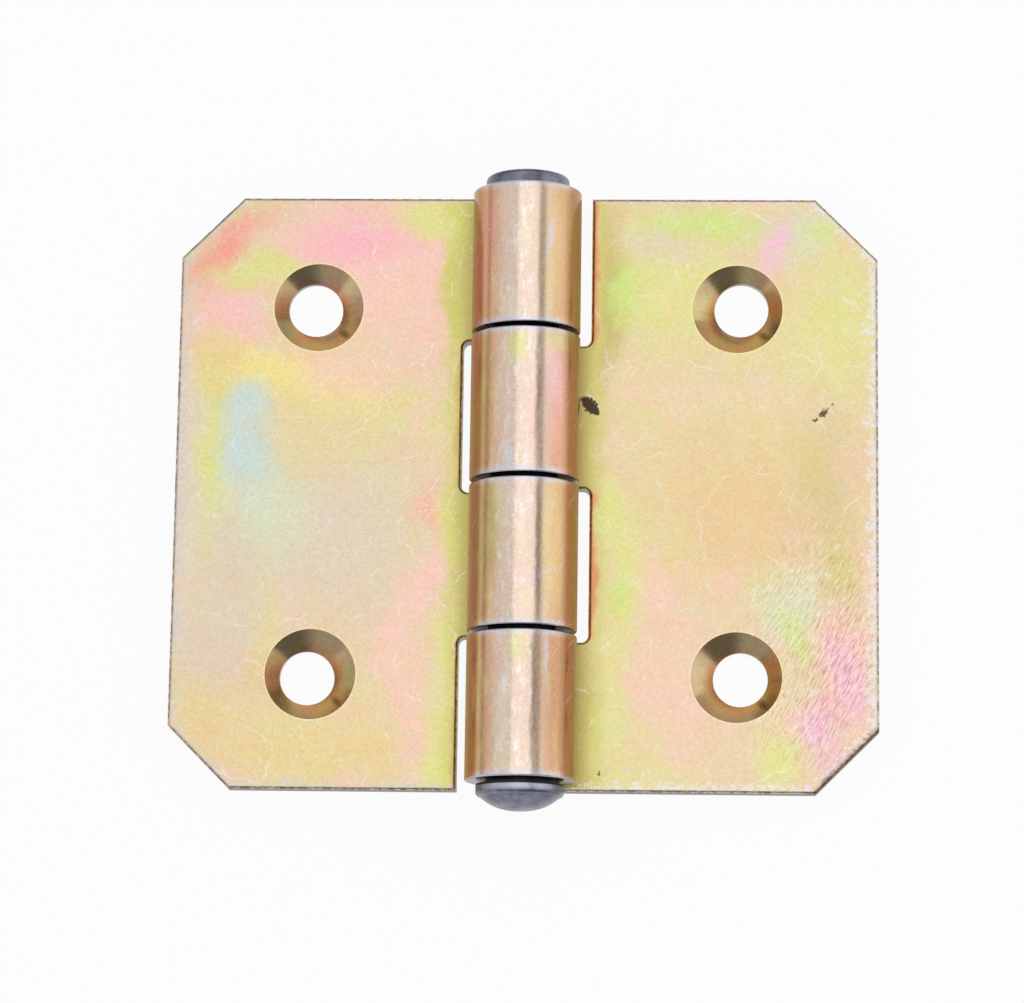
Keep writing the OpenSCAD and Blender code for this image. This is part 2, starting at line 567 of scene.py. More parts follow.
RIGHT_STAINS = (
    ColourPatch(Tint.STRAW, 20.0, 4.0, 12.0, 9.0, 0, 0.5),
    ColourPatch(Tint.AMBER, 21.6, -1.6, 8.0, 7.0, 0, 0.45),
    ColourPatch(Tint.LIME, 12.2, 20.8, 7.4, 6.4, 0, 0.7),
    ColourPatch(Tint.LEAF, 18.4, 27.3, 6.4, 1.9, 0, 0.8),
    ColourPatch(Tint.MINT, 27.4, 26.0, 3.0, 2.8, 0, 0.6),
    ColourPatch(Tint.LEAF, 29.4, 26.6, 1.6, 1.4, 0, 0.6),
    ColourPatch(Tint.SAND, 13.4, 25.0, 4.2, 1.6, 0, 0.6),
    ColourPatch(Tint.ORCHID, 24.7, 25.4, 2.5, 1.1, 70, 0.9, 0.7),
    ColourPatch(Tint.OLIVE, 7.9, 19.6, 1.5, 8.4, 0, 0.7),
    ColourPatch(Tint.LEAF, 9.4, 20.6, 1.4, 3.0, 0, 0.8),
    ColourPatch(Tint.LIME, 30.6, 17.6, 3.6, 7.0, 0, 0.6),
    ColourPatch(Tint.OLIVE, 30.0, 0.6, 3.6, 6.4, 0, 0.3),
    ColourPatch(Tint.LIME, 8.4, -1.6, 1.2, 3.0, 0, 0.8),
    ColourPatch(Tint.LIME, 9.6, -8.6, 2.0, 5.6, 0, 0.7),
    ColourPatch(Tint.LEAF, 9.0, -10.6, 1.1, 2.2, 0, 0.8),
    ColourPatch(Tint.ROSE, 13.0, -9.6, 1.8, 3.8, 20, 0.5),
    ColourPatch(Tint.MINT, 26.4, -11.6, 3.4, 3.2, 0, 0.6),
    ColourPatch(Tint.LEAF, 27.5, -15.2, 3.8, 1.2, -64, 0.75),
    ColourPatch(Tint.MOSS, 31.6, -9.2, 2.2, 4.0, 0, 0.55),
    ColourPatch(Tint.ROSE, 31.2, -17.2, 2.6, 6.2, 0, 0.75),
    ColourPatch(Tint.ORCHID, 28.8, -23.2, 1.5, 2.6, -20, 0.9),
    ColourPatch(Tint.ORCHID, 32.0, -19.0, 1.3, 3.6, 20, 0.75),
    ColourPatch(Tint.ORCHID, 29.2, -26.2, 3.2, 1.8, 0, 0.5),
    ColourPatch(Tint.LIME, 25.2, -27.0, 2.6, 2.8, 0, 0.8),
    ColourPatch(Tint.STRAW, 24.2, -22.8, 2.2, 2.6, 0, 0.6),
    ColourPatch(Tint.ROSE, 13.8, -19.2, 3.8, 6.0, 0, 0.4),
    ColourPatch(Tint.LIME, 8.7, -19.6, 1.5, 7.2, 0, 0.6),
)

# Patches on the knuckles: stains, and thin umber stripes that are a painted dark reflection.
LEFT_KNUCKLE_PATCHES = (
    ColourPatch(Tint.SALMON, -3.9, 22.6, 1.0, 7.0, 0, 0.5),
    ColourPatch(Tint.GOLD, 3.2, 22.0, 1.6, 7.5, 0, 0.45),
    ColourPatch(Tint.SALMON, 4.8, 19.4, 0.5, 3.4, 0, 0.6),
    ColourPatch(Tint.OLIVE, -3.2, -5.4, 1.1, 5.0, 0, 0.6),
    ColourPatch(Tint.GOLD, 3.4, -7.0, 1.5, 6.5, 0, 0.6),
    ColourPatch(Tint.FROST, 2.5, 23.8, 0.26, 1.7, -8, 0.6, 0.9),
    ColourPatch(Tint.FROST, 1.7, -10.0, 1.5, 0.14, 28, 0.6, 0.9),
    # The two thin umber stripes beside the crest are a painted dark reflection running along the
    # knuckle.
    ColourPatch(Tint.UMBER, 1.5, 21.0, 0.16, 5.0, 0, 0.2, 0.9),
    ColourPatch(Tint.UMBER, 1.6, -7.0, 0.2, 6.6, 0, 0.4, 0.9),
)

RIGHT_KNUCKLE_PATCHES = (
    ColourPatch(Tint.OLIVE, -4.2, 6.0, 0.7, 7.0, 0, 0.5),
    ColourPatch(Tint.LIME, -0.6, 12.8, 1.0, 1.6, 0, 0.7),
    ColourPatch(Tint.LEAF, 3.7, 13.4, 0.9, 0.9, 0, 0.8),
    ColourPatch(Tint.ORCHID, 3.4, 9.6, 1.2, 3.4, 0, 0.65),
    ColourPatch(Tint.SALMON, 4.2, 5.0, 1.0, 7.0, 0, 0.6),
    ColourPatch(Tint.LIME, -0.4, -16.6, 0.8, 1.6, 0, 0.6),
    ColourPatch(Tint.BRONZE, 2.6, -20.0, 1.8, 7.4, 0, 0.3),
    ColourPatch(Tint.FROST, -1.5, 1.6, 0.4, 1.4, 0, 0.6, 0.9),
    ColourPatch(Tint.FROST, 2.6, -17.6, 0.16, 2.2, 0, 0.5, 0.9),
    # The two thin umber stripes beside the crest are a painted dark reflection running along the
    # knuckle.
    ColourPatch(Tint.UMBER, 1.4, 8.0, 0.2, 6.0, 0, 0.45, 0.9),
    ColourPatch(Tint.UMBER, 1.35, -21.0, 0.22, 7.2, 0, 0.6, 0.9),
)

# The scoured corner: the way its streaks run, in degrees, and the two patches that hold them.
SCOUR_TURN = 62.0
SCOURED_ROSE = ColourPatch(Tint.MAGENTA, 31.0, -18.8, 3.2, 8.6, -8, feather=0.8)
SCOURED_HALO = ColourPatch(Tint.CHALK, 28.4, -15.6, 6.4, 11.5, -8, feather=0.45)

# The direction of each set of hairlines, in degrees, and the noise level above which they show.
HAIRLINES = ((62, 0.7), (118, 0.72))

# Spots of burnt film on the right leaf.
DARK_MARKS = (
    ColourPatch(Tint.SOOT, 6.4, 8.65, 1.15, 0.62, -48, 0.95, 0.15),
    ColourPatch(Tint.SOOT, 28.8, 7.3, 0.22, 0.2, 0, 0.8, 0.3),
    ColourPatch(Tint.SOOT, 29.6, 8.05, 0.55, 0.24, 45, 0.85, 0.3),
    ColourPatch(Tint.SOOT, 30.4, 8.9, 0.18, 0.14, 0, 0.7, 0.3),
    ColourPatch(Tint.SOOT, 7.6, -28.2, 0.14, 0.12, 0, 0.8, 0.3),
)


class Side(Enum):
    """The two leaves, named by where they lie."""

    LEFT = "leaf_left"
    RIGHT = "leaf_right"

    @property
    def sign(self) -> float:
        """The side's direction along X."""
        return 1.0 if self is Side.RIGHT else -1.0


@dataclass(frozen=True)
class LeafShape:
    """Driving sizes of the leaves in millimetres, repeated from the part for the finishes."""

    half_width: float = 35.0
    half_length: float = 30.0
    corner_cut: float = 6.2
    notch_edge: float = 6.4
    knuckle_pitch: float = 15.0
    knuckle_gap: float = 0.4
    stack_end: float = 29.5
    sink_x: float = 21.0
    sink_y: float = 18.6
    sink_r: float = 4.62
    sink_feather: float = 0.02


FRONT = Ramp(-0.6, -0.3)


@dataclass(frozen=True)
class Place:
    """Where a point of the surface lies: sockets for its position and facing, in millimetres.

    front is a mask that is 0 on the faces that look straight down.
    """

    spot: bpy.types.NodeSocket
    x: bpy.types.NodeSocket
    y: bpy.types.NodeSocket
    z: bpy.types.NodeSocket
    facing_y: bpy.types.NodeSocket
    facing_z: bpy.types.NodeSocket
    front: bpy.types.NodeSocket

    @classmethod
    def read(cls, g: Graph) -> "Place":
        """Read the position and the facing once for a material.

        Args:
            g: The material's graph.

        Returns:
            The sockets.
        """
        where = g.node("ShaderNodeTexCoord")
        spot = g.vector("MULTIPLY", where.outputs["Object"], (1 / MM, 1 / MM, 1 / MM))
        x, y, z = g.node("ShaderNodeSeparateXYZ", {0: spot}).outputs
        facing = g.node("ShaderNodeSeparateXYZ", {0: where.outputs["Normal"]}).outputs
        return cls(spot, x, y, z, facing[1], facing[2], FRONT.over(g, facing[2]))


def grey(level: float) -> tuple[float, float, float, float]:
    """Return a neutral linear colour of one level."""
    return (level, level, level, 1.0)


def loosen(
    g: Graph,
    drift: bpy.types.ShaderNodeTree,
    place: bpy.types.NodeSocket,
    wanders: Sequence[Wander],
) -> bpy.types.NodeSocket:
    """Displace a position by one slow noise after another.

    Args:
        g: The material's graph.
        drift: The group that displaces, for solids or for flat sheet.
        place: The position in millimetres.
        wanders: The displacements, the widest first.

    Returns:
        The displaced position.
    """
    for wander in wanders:
        inputs = {"Place": place, "Size": wander.size, "Amount": wander.amount}
        place = g.group(drift, inputs)["Place"]
    return place


def lay_patches(
    g: Graph,
    film: bpy.types.NodeSocket,
    place: bpy.types.NodeSocket,
    patches: Sequence[ColourPatch],
) -> bpy.types.NodeSocket:
    """Lay patches over a film one after another.

    Args:
        g: The material's graph.
        film: The colour so far.
        place: The position in millimetres that the patches are read at.
        patches: The patches, the lowest first.

    Returns:
        The colour.
    """
    for stain in patches:
        film = g.mix(stain.mask(g, place), film, stain.tint.linear)
    return film


@dataclass(frozen=True)
class ZincRamps:
    """Where each part of the zinc finish begins and ends, in millimetres or as noise levels.

    The ramps named after the inner edge count from the notched edge outwards.
    """

    rolled: Ramp = Ramp(2.1, 2.7)
    straw: Ramp = Ramp(0.42, 0.62)
    blush: Ramp = Ramp(0.52, 0.72, 0.0, 0.5)
    cool_mottle: Ramp = Ramp(0.5, 0.75, 0.0, 0.18)
    warm_mottle: Ramp = Ramp(0.5, 0.25, 0.0, 0.18)
    scour_rosy: Ramp = Ramp(0.58, 0.38, 0.0, 0.55)
    scour_dull: Ramp = Ramp(0.46, 0.32, 0.0, 0.35)
    scour_bright: Ramp = Ramp(0.54, 0.7, 0.0, 0.7)
    own_tongue: Ramp = Ramp(-0.12, 0.12)
    inner_green: Ramp = Ramp(2.0, 0.7, 0.0, 0.5)
    inner_gold: Ramp = Ramp(1.2, 0.5)
    inner_line: Ramp = Ramp(1.0, 0.2)
    root_crease_shade: Ramp = Ramp(0.9, -0.6, 0.0, 0.75)
    cone_facing: Ramp = Ramp(0.93, 0.85)
    cone_top: Ramp = Ramp(2.0, 1.96)
    cone_fawn: Ramp = Ramp(0.4, 0.62)
    cone_rust: Ramp = Ramp(1.1, 0.3, 0.0, 0.6)
    knuckle_gold: Ramp = Ramp(0.45, 0.75)
    knuckle_salmon: Ramp = Ramp(0.5, 0.32, 0.0, 0.5)
    # The crest ramp lays pale film along the knuckle top that is partly worn film and partly a
    # painted highlight.
    crest_wear_and_highlight: Ramp = Ramp(9.6, 10.7, 0.0, 0.6)
    # The low ramp paints shade on the knuckle flanks below the crest.
    low: Ramp = Ramp(9.8, 8.1, 0.0, 0.85)
    highlight_scuff_across: Ramp = Ramp(2.8, 0.8)
    highlight_scuff_height: Ramp = Ramp(9.8, 10.3)
    scuff: Ramp = Ramp(0.5, 0.68, 0.0, 0.75)
    upright: Ramp = Ramp(0.35, 0.1)
    brow_facing: Ramp = Ramp(0.985, 0.85)
    brow_height: Ramp = Ramp(1.3, 1.6)
    brow_break: Ramp = Ramp(0.4, 0.58, 0.1, 0.75)
    scorch: Ramp = Ramp(-0.1, -0.7)
    scorch_along: Ramp = Ramp(-20.0, -24.0)
    end_rub: Ramp = Ramp(0.9, 0.1, 0.0, 0.55)
    end_height: Ramp = Ramp(7.0, 10.4)
    patchy: Ramp = Ramp(0.42, 0.62, 0.1, 1.0)
    chips: Ramp = Ramp(0.65, 0.71)
    end_wall_shade: Ramp = Ramp(0.75, 0.97, 0.0, 0.95)


@dataclass(frozen=True)
class ZincClouds:
    """The noise patterns of the zinc finish, each with its features in a millimetre."""

    mottle: Cloud = Cloud(0.4, 3.0, 0.6)
    wear: Cloud = Cloud(1.8, 3.0, 0.75, flat=False)
    straw: Cloud = Cloud(0.09, 2.0)
    blush: Cloud = Cloud(0.16, 3.0)
    streak: Cloud = Cloud(1.0, 3.0, 0.62)
    band: Cloud = Cloud(1.0, 3.0, flat=False)
    scuff: Cloud = Cloud(1.0, 4.0, 0.72, flat=False)
    patchy: Cloud = Cloud(0.14, 2.0)


@dataclass(frozen=True)
class PassivatedZinc:
    """Yellow-passivated zinc plate: a thin film whose colour wanders with its thickness."""

    side: Side
    patches: tuple[ColourPatch, ...]
    knuckle_patches: tuple[ColourPatch, ...]
    edge_tint: Tint
    worn_tint: Tint
    scorched_cut: float = 0.0
    shape: LeafShape = LeafShape()
    roughness: float = 0.36
    knuckle_roughness: float = 0.2
    grain_size: float = 0.13
    grain_height: float = 0.007
    grain_gloss: float = 0.15
    grain_shade: float = 0.6
    bump_strength: float = 0.6
    worn_gloss: float = 0.1
    film_level: float = 0.97
    film_wanders: tuple[Wander, ...] = (Wander(6.0, 2.8), Wander(1.5, 1.4))
    knuckle_wanders: tuple[Wander, ...] = (Wander(1.4, 0.6),)
    mark_wander: Wander = Wander(0.35, 0.6)
    scratch_amount: float = 0.6
    scratch_length: float = 2.4
    scratch_width: float = 0.13
    scribble_size: float = 7.0
    scribble_width: float = 0.09
    scribble_share: float = 0.6
    chip_share: float = 0.8
    highlight_scuff_shift: float = 0.7
    scour_stretch: tuple[float, float, float] = (0.8, 5.6, 0.0)
    band_stretch: tuple[float, float, float] = (0.6, 0.14, 0.6)
    scuff_stretch: tuple[float, float, float] = (2.0, 0.5, 2.0)
    cone_share: float = 0.85
    side_rate: float = 0.8
    lower_rate: float = 1.1
    upper_rate: float = 2.4
    band_width: float = 1.4
    band_raggedness: float = 4.0
    end_width: float = 0.8
    end_raggedness: float = 3.6
    wear_share: float = 0.7
    scorch_raggedness: float = 1.6
    inner_rim_share: float = 0.75
    steady_share: float = 0.6
    sunk_shield: float = 0.9
    wedge_shade_shift: float = 2.6
    wedge_shade_reach: tuple[float, float] = (0.6, 0.34)
    wedge_shade_strength: float = 0.75
    wedge_shade_feather: float = 0.85
    ramps: ZincRamps = ZincRamps()
    clouds: ZincClouds = ZincClouds()

    def material(self, effects: Effects) -> bpy.types.Material:
        """Build the finish of one leaf.

        Args:
            effects: The shared node groups.

        Returns:
            The material.
        """
        made = bpy.data.materials.new(f"passivated_zinc_{self.side.name.lower()}")
        made.use_nodes = True
        made.node_tree.nodes.clear()
        g = Graph(made.node_tree)
        at = Place.read(g)
        rolled = self.ramps.rolled.over(g, at.z)
        flat = g.math("SUBTRACT", 1.0, rolled)
        grain = g.group(effects.grain, {"Place": at.spot, "Size": self.grain_size})
        mottle = self.clouds.mottle.read(g, at.spot)
        film = self._film(g, effects, at, mottle)
        cloud = self.clouds.wear.read(g, at.spot)
        film, sunk = self._sinks(g, film, at, mottle)
        film = g.mix(rolled, film, self._knuckle_film(g, effects, at))
        film, worn = self._wear(g, effects, film, at, cloud, rolled, flat)
        film = self._scratches(g, effects, film, at, cloud, rolled, sunk)
        film = self._walls(g, film, at, cloud, flat, sunk)
        film = self._gap_shade(g, film, at, rolled)
        film = self._marks(g, effects, film, at)
        film = self._speckle(g, film, grain)
        rough = g.mix(rolled, grey(self.roughness), grey(self.knuckle_roughness))
        rough = g.mix(sunk, rough, grey(self.knuckle_roughness))
        rough = g.math("ADD", rough, g.math("MULTIPLY", grain["Shade"], self.grain_gloss))
        rough = g.math("ADD", rough, g.math("MULTIPLY", worn, self.worn_gloss), clamp=True)
        height = g.math("MULTIPLY", grain["Height"], self.grain_height)
        inputs = {"Height": height, "Distance": MM, "Strength": self.bump_strength}
        bump = g.node("ShaderNodeBump", inputs)
        skin = g.node(
            "ShaderNodeBsdfPrincipled",
            {
                "Base Color": film,
                "Roughness": rough,
                "Normal": bump.outputs[0],
                "Metallic": 1.0,
            },
        )
        end = g.node("ShaderNodeOutputMaterial")
        g.feed(end.inputs["Surface"], skin.outputs[0])
        return made

    def _film(
        self, g: Graph, effects: Effects, at: Place, mottle: bpy.types.NodeSocket
    ) -> bpy.types.NodeSocket:
        """Colour the flat sheet: a tan film with broad clouds and its stains.

        Args:
            g: The material's graph.
            effects: The shared node groups.
            at: The place on the surface.
            mottle: The noise of the small patches.

        Returns:
            The colour.
        """
        ramps = self.ramps
        loose = loosen(g, effects.slide, at.spot, self.film_wanders)
        cloud = self.clouds.straw.read(g, loose)
        film = g.mix(ramps.straw.over(g, cloud), Tint.TAN.linear, Tint.STRAW.linear)
        blush = self.clouds.blush.read(g, loose)
        film = g.mix(ramps.blush.over(g, blush), film, Tint.ROSE.linear)
        film = lay_patches(g, film, loose, self.patches)
        film = g.mix(ramps.cool_mottle.over(g, mottle), film, Tint.MINT.linear)
        film = g.mix(ramps.warm_mottle.over(g, mottle), film, Tint.AMBER.linear)
        film = self._scour(g, film, at, loose)
        return self._inner_edge(g, film, at, loose)

    def _scour(
        self,
        g: Graph,
        film: bpy.types.NodeSocket,
        at: Place,
        loose: bpy.types.NodeSocket,
    ) -> bpy.types.NodeSocket:
        """Streak the corner by the right leaf's lower hole, where it was dragged on grit.

        Args:
            g: The material's graph.
            film: The colour so far.
            at: The place on the surface.
            loose: The drifted position.

        Returns:
            The colour.
        """
        if self.side is not Side.RIGHT:
            return film
        inputs = {"Vector": at.spot, "Angle": -math.radians(SCOUR_TURN)}
        turned = g.node("ShaderNodeVectorRotate", inputs, rotation_type="Z_AXIS").outputs[0]
        drawn = g.vector("MULTIPLY", turned, self.scour_stretch)
        streak = self.clouds.streak.read(g, drawn)
        rosy = SCOURED_ROSE.mask(g, loose)
        wide = SCOURED_HALO.mask(g, loose)
        deep = g.math("MULTIPLY", rosy, self.ramps.scour_rosy.over(g, streak))
        film = g.mix(deep, film, Tint.MAGENTA.linear)
        dull = g.math("MULTIPLY", wide, self.ramps.scour_dull.over(g, streak))
        film = g.mix(dull, film, Tint.UMBER.linear)
        bright = g.math("MULTIPLY", wide, self.ramps.scour_bright.over(g, streak))
        return g.mix(bright, film, Tint.CHALK.linear)

    def _inner_edge(
        self, g: Graph, film: bpy.types.NodeSocket, at: Place, loose: bpy.types.NodeSocket
    ) -> bpy.types.NodeSocket:
        """Run the film through its colours towards the notched edge, as it thins there, and paint
        olive shade in the crease where the leaf rolls into its own knuckle.

        Args:
            g: The material's graph.
            film: The colour so far.
            at: The place on the surface.
            loose: The drifted position.

        Returns:
            The colour.
        """
        ramps = self.ramps
        wander = g.node("ShaderNodeSeparateXYZ", {0: loose}).outputs[0]
        steady = g.math("MULTIPLY", g.math("ABSOLUTE", at.x), self.steady_share)
        swing = g.math("MULTIPLY", g.math("ABSOLUTE", wander), 1.0 - self.steady_share)
        away = g.math("SUBTRACT", g.math("ADD", steady, swing), self.shape.notch_edge)
        turns = g.math("MULTIPLY", at.y, self.side.sign * math.pi / self.shape.knuckle_pitch)
        own = ramps.own_tongue.over(g, g.math("SINE", turns))
        shown = g.math("MULTIPLY", own, at.front)
        film = g.mix(ramps.inner_green.over(g, away), film, Tint.MOSS.linear)
        rim = g.math("MULTIPLY", g.math("SUBTRACT", 1.0, own), self.inner_rim_share)
        thin = ramps.inner_gold.over(g, away)
        film = g.mix(g.math("MULTIPLY", rim, thin), film, Tint.GOLD.linear)
        line = ramps.inner_line.over(g, away)
        film = g.mix(g.math("MULTIPLY", rim, line), film, self.edge_tint.linear)
        # Painted shade: olive in the crease at the root of the leaf's own knuckle.
        root_shade = g.math("MULTIPLY", shown, ramps.root_crease_shade.over(g, away))
        return g.mix(root_shade, film, Tint.OLIVE.linear)

    def _sinks(
        self,
        g: Graph,
        film: bpy.types.NodeSocket,
        at: Place,
        mottle: bpy.types.NodeSocket,
    ) -> tuple[bpy.types.NodeSocket, bpy.types.NodeSocket]:
        """Give the countersinks their heavier olive film, with a rusty ring at the hole and a
        painted dark reflection as a wedge on each cone's lower right.

        Args:
            g: The material's graph.
            film: The colour so far.
            at: The place on the surface.
            mottle: The noise of the small patches.

        Returns:
            The colour and the mask of the countersinks.
        """
        shape, ramps = self.shape, self.ramps
        facing = ramps.cone_facing.over(g, at.facing_z)
        slant = g.math("MULTIPLY", facing, ramps.cone_top.over(g, at.z))
        olive = g.mix(ramps.cone_fawn.over(g, mottle), Tint.KHAKI.linear, Tint.FAWN.linear)
        ring = ramps.cone_rust.over(g, at.z)
        olive = g.mix(ring, olive, Tint.RUST.linear)
        x = self.side.sign * shape.sink_x
        holes = [
            ColourPatch(
                Tint.KHAKI,
                x,
                y,
                shape.sink_r,
                shape.sink_r,
                strength=1.0,
                feather=shape.sink_feather,
            ).mask(g, at.spot)
            for y in (-shape.sink_y, shape.sink_y)
        ]
        sunk = g.math("MULTIPLY", g.math("MAXIMUM", holes[0], holes[1]), at.front)
        cone = g.math("MULTIPLY", g.math("MULTIPLY", sunk, slant), self.cone_share)
        film = g.mix(cone, film, olive)
        # Painted dark reflection: a narrow umber wedge on the lower right of each cone.
        shade_wedges = [
            ColourPatch(
                Tint.UMBER,
                x + self.wedge_shade_shift,
                y - self.wedge_shade_shift,
                *self.wedge_shade_reach,
                turn=-45,
                strength=self.wedge_shade_strength,
                feather=self.wedge_shade_feather,
            )
            for y in (-shape.sink_y, shape.sink_y)
        ]
        wedge_shaded = lay_patches(g, film, at.spot, shade_wedges)
        return g.mix(at.front, film, wedge_shaded), sunk

    def _knuckle_film(self, g: Graph, effects: Effects, at: Place) -> bpy.types.NodeSocket:
        """Colour the rolled knuckles: copper film drawn out along the pin, rubbed on the crest,
        with a painted highlight along the crest and painted shade on the flanks.

        Args:
            g: The material's graph.
            effects: The shared node groups.
            at: The place on the surface.

        Returns:
            The colour.
        """
        ramps = self.ramps
        loose = loosen(g, effects.drift, at.spot, self.knuckle_wanders)
        drawn = g.vector("MULTIPLY", loose, self.band_stretch)
        band = self.clouds.band.read(g, drawn)
        film = g.mix(ramps.knuckle_gold.over(g, band), Tint.COPPER.linear, Tint.GOLD.linear)
        film = g.mix(ramps.knuckle_salmon.over(g, band), film, Tint.SALMON.linear)
        # Pale pearl along the top of the knuckle: partly film worn off the crest, partly a painted
        # highlight.
        film = g.mix(ramps.crest_wear_and_highlight.over(g, at.z), film, Tint.PEARL.linear)
        film = lay_patches(g, film, loose, self.knuckle_patches)
        # Bronze on the lower flanks of the knuckle is painted shade, darker towards the sides of
        # the roll.
        film = g.mix(ramps.low.over(g, at.z), film, Tint.BRONZE.linear)
        # Chalk scuffs along the crest, set a little towards -X where the highlight falls: partly
        # real scuffs, partly a painted highlight.
        scuff = self.clouds.scuff.read(g, g.vector("MULTIPLY", loose, self.scuff_stretch))
        beside = g.math("ABSOLUTE", g.math("ADD", at.x, self.highlight_scuff_shift))
        scuffs_and_highlight = g.math(
            "MULTIPLY", ramps.highlight_scuff_across.over(g, beside), ramps.highlight_scuff_height.over(g, at.z)
        )
        scuffs_and_highlight = g.math("MULTIPLY", scuffs_and_highlight, ramps.scuff.over(g, scuff))
        return g.mix(scuffs_and_highlight, film, Tint.CHALK.linear)

    def _walls(
        self,
        g: Graph,
        film: bpy.types.NodeSocket,
        at: Place,
        cloud: bpy.types.NodeSocket,
        flat: bpy.types.NodeSocket,
        sunk: bpy.types.NodeSocket,
    ) -> bpy.types.NodeSocket:
        """Give the sheared walls a thin grey film, darkened in part as painted shade, and their
        rounded top edges a burnt one that is partly painted shade.

        Args:
            g: The material's graph.
            film: The colour so far.
            at: The place on the surface.
            cloud: The noise that breaks the burnt edge up.
            flat: The mask of the flat sheet.
            sunk: The mask of the countersinks.

        Returns:
            The colour.
        """
        ramps = self.ramps
        # The walls' grey is partly their film and partly painted shade.
        upright = ramps.upright.over(g, g.math("ABSOLUTE", at.facing_z))
        wall_tone_and_shade = g.math("MULTIPLY", upright, flat)
        film = g.mix(wall_tone_and_shade, film, Tint.PEWTER.linear)
        # The dark band on the rounded top edges is partly burnt film, partly painted shade.
        facing = ramps.brow_facing.over(g, at.facing_z)
        brow_burn_and_shade = g.math("MULTIPLY", facing, ramps.brow_height.over(g, at.z))
        open_sheet = g.math("MULTIPLY", flat, g.math("SUBTRACT", 1.0, sunk))
        brow_burn_and_shade = g.math("MULTIPLY", g.math("MULTIPLY", brow_burn_and_shade, open_sheet), at.front)
        brow_burn_and_shade = g.math("MULTIPLY", brow_burn_and_shade, ramps.brow_break.over(g, cloud))
        return g.mix(brow_burn_and_shade, film, Tint.UMBER.linear)

    def _wear(
        self,
        g: Graph,
        effects: Effects,
        film: bpy.types.NodeSocket,
        at: Place,
        cloud: bpy.types.NodeSocket,
        rolled: bpy.types.NodeSocket,
        flat: bpy.types.NodeSocket,
    ) -> tuple[bpy.types.NodeSocket, bpy.types.NodeSocket]:
        """Wear the film off the leaf's outer edges and the knuckles' ends.

        Args:
            g: The material's graph.
            effects: The shared node groups.
            film: The colour so far.
            at: The place on the surface.
            cloud: The noise that breaks the wear up.
            rolled: The mask of the knuckles.
            flat: The mask of the flat sheet.

        Returns:
            The colour and the mask of the wear.
        """
        shape, ramps = self.shape, self.ramps
        out_x = g.math("ABSOLUTE", at.x)
        out_y = g.math("ABSOLUTE", at.y)
        side = g.math("SUBTRACT", shape.half_width, out_x)
        side = g.math("MULTIPLY", side, self.side_rate)
        lower = g.math("ADD", at.y, shape.half_length)
        lower = g.math("MULTIPLY", lower, self.lower_rate)
        upper = g.math("SUBTRACT", shape.half_length, at.y)
        upper = g.math("MULTIPLY", upper, self.upper_rate)
        span = shape.half_width + shape.half_length - shape.corner_cut
        corner = g.math("SUBTRACT", span, g.math("ADD", out_x, out_y))
        corner = g.math("MULTIPLY", corner, math.sqrt(0.5))
        margin = g.math("MINIMUM", g.math("MINIMUM", side, corner), g.math("MINIMUM", lower, upper))
        band = g.group(
            effects.fray,
            {
                "Cloud": cloud,
                "Distance": margin,
                "Width": self.band_width,
                "Raggedness": self.band_raggedness,
            },
        )["Mask"]
        band = g.math("MULTIPLY", g.math("MULTIPLY", band, flat), self.wear_share)
        film = g.mix(band, film, self.worn_tint.linear)
        ragged = g.math("SUBTRACT", corner, g.math("MULTIPLY", cloud, self.scorch_raggedness))
        scorch = ramps.scorch.over(g, ragged)
        scorch = g.math("MULTIPLY", scorch, ramps.scorch_along.over(g, at.y))
        film = g.mix(g.math("MULTIPLY", scorch, self.scorched_cut), film, Tint.UMBER.linear)
        nearest = g.math("PINGPONG", at.y, shape.knuckle_pitch / 2)
        nearest = g.math("SUBTRACT", nearest, shape.knuckle_gap / 2)
        nearest = g.math("MINIMUM", nearest, g.math("SUBTRACT", shape.stack_end, out_y))
        rim = g.group(
            effects.fray,
            {
                "Cloud": cloud,
                "Distance": nearest,
                "Width": self.end_width,
                "Raggedness": self.end_raggedness,
            },
        )["Mask"]
        soft = ramps.end_rub.over(g, nearest)
        rim = g.math("MAXIMUM", g.math("MULTIPLY", rim, self.wear_share), soft)
        rim = g.math("MULTIPLY", g.math("MULTIPLY", rim, rolled), ramps.end_height.over(g, at.z))
        film = g.mix(rim, film, Tint.FROST.linear)
        return film, g.math("MAXIMUM", band, rim)

    def _scratches(
        self,
        g: Graph,
        effects: Effects,
        film: bpy.types.NodeSocket,
        at: Place,
        cloud: bpy.types.NodeSocket,
        rolled: bpy.types.NodeSocket,
        sunk: bpy.types.NodeSocket,
    ) -> bpy.types.NodeSocket:
        """Score the film with pale hairlines, longer scribbles and chips.

        Args:
            g: The material's graph.
            effects: The shared node groups.
            film: The colour so far.
            at: The place on the surface.
            cloud: The noise that the chips follow.
            rolled: The mask of the knuckles.
            sunk: The mask of the countersinks.

        Returns:
            The colour.
        """
        scored: Value = 0.0
        for turn, level in HAIRLINES:
            line = g.group(
                effects.hairline,
                {
                    "Place": at.spot,
                    "Turn": math.radians(turn),
                    "Length": self.scratch_length,
                    "Width": self.scratch_width,
                    "Level": level,
                },
            )["Mask"]
            scored = g.math("MAXIMUM", scored, line)
        patchy = self.clouds.patchy.read(g, at.spot)
        patchy = self.ramps.patchy.over(g, patchy)
        scored = g.math("MULTIPLY", scored, patchy)
        scribble = g.group(
            effects.scribble,
            {"Place": at.spot, "Size": self.scribble_size, "Width": self.scribble_width},
        )
        scribbled = g.math("MULTIPLY", scribble["Mask"], g.math("SUBTRACT", 1.0, rolled))
        scored = g.math("MAXIMUM", scored, g.math("MULTIPLY", scribbled, self.scribble_share))
        chips = g.math("MULTIPLY", self.ramps.chips.over(g, cloud), patchy)
        scored = g.math("MAXIMUM", scored, g.math("MULTIPLY", chips, self.chip_share))
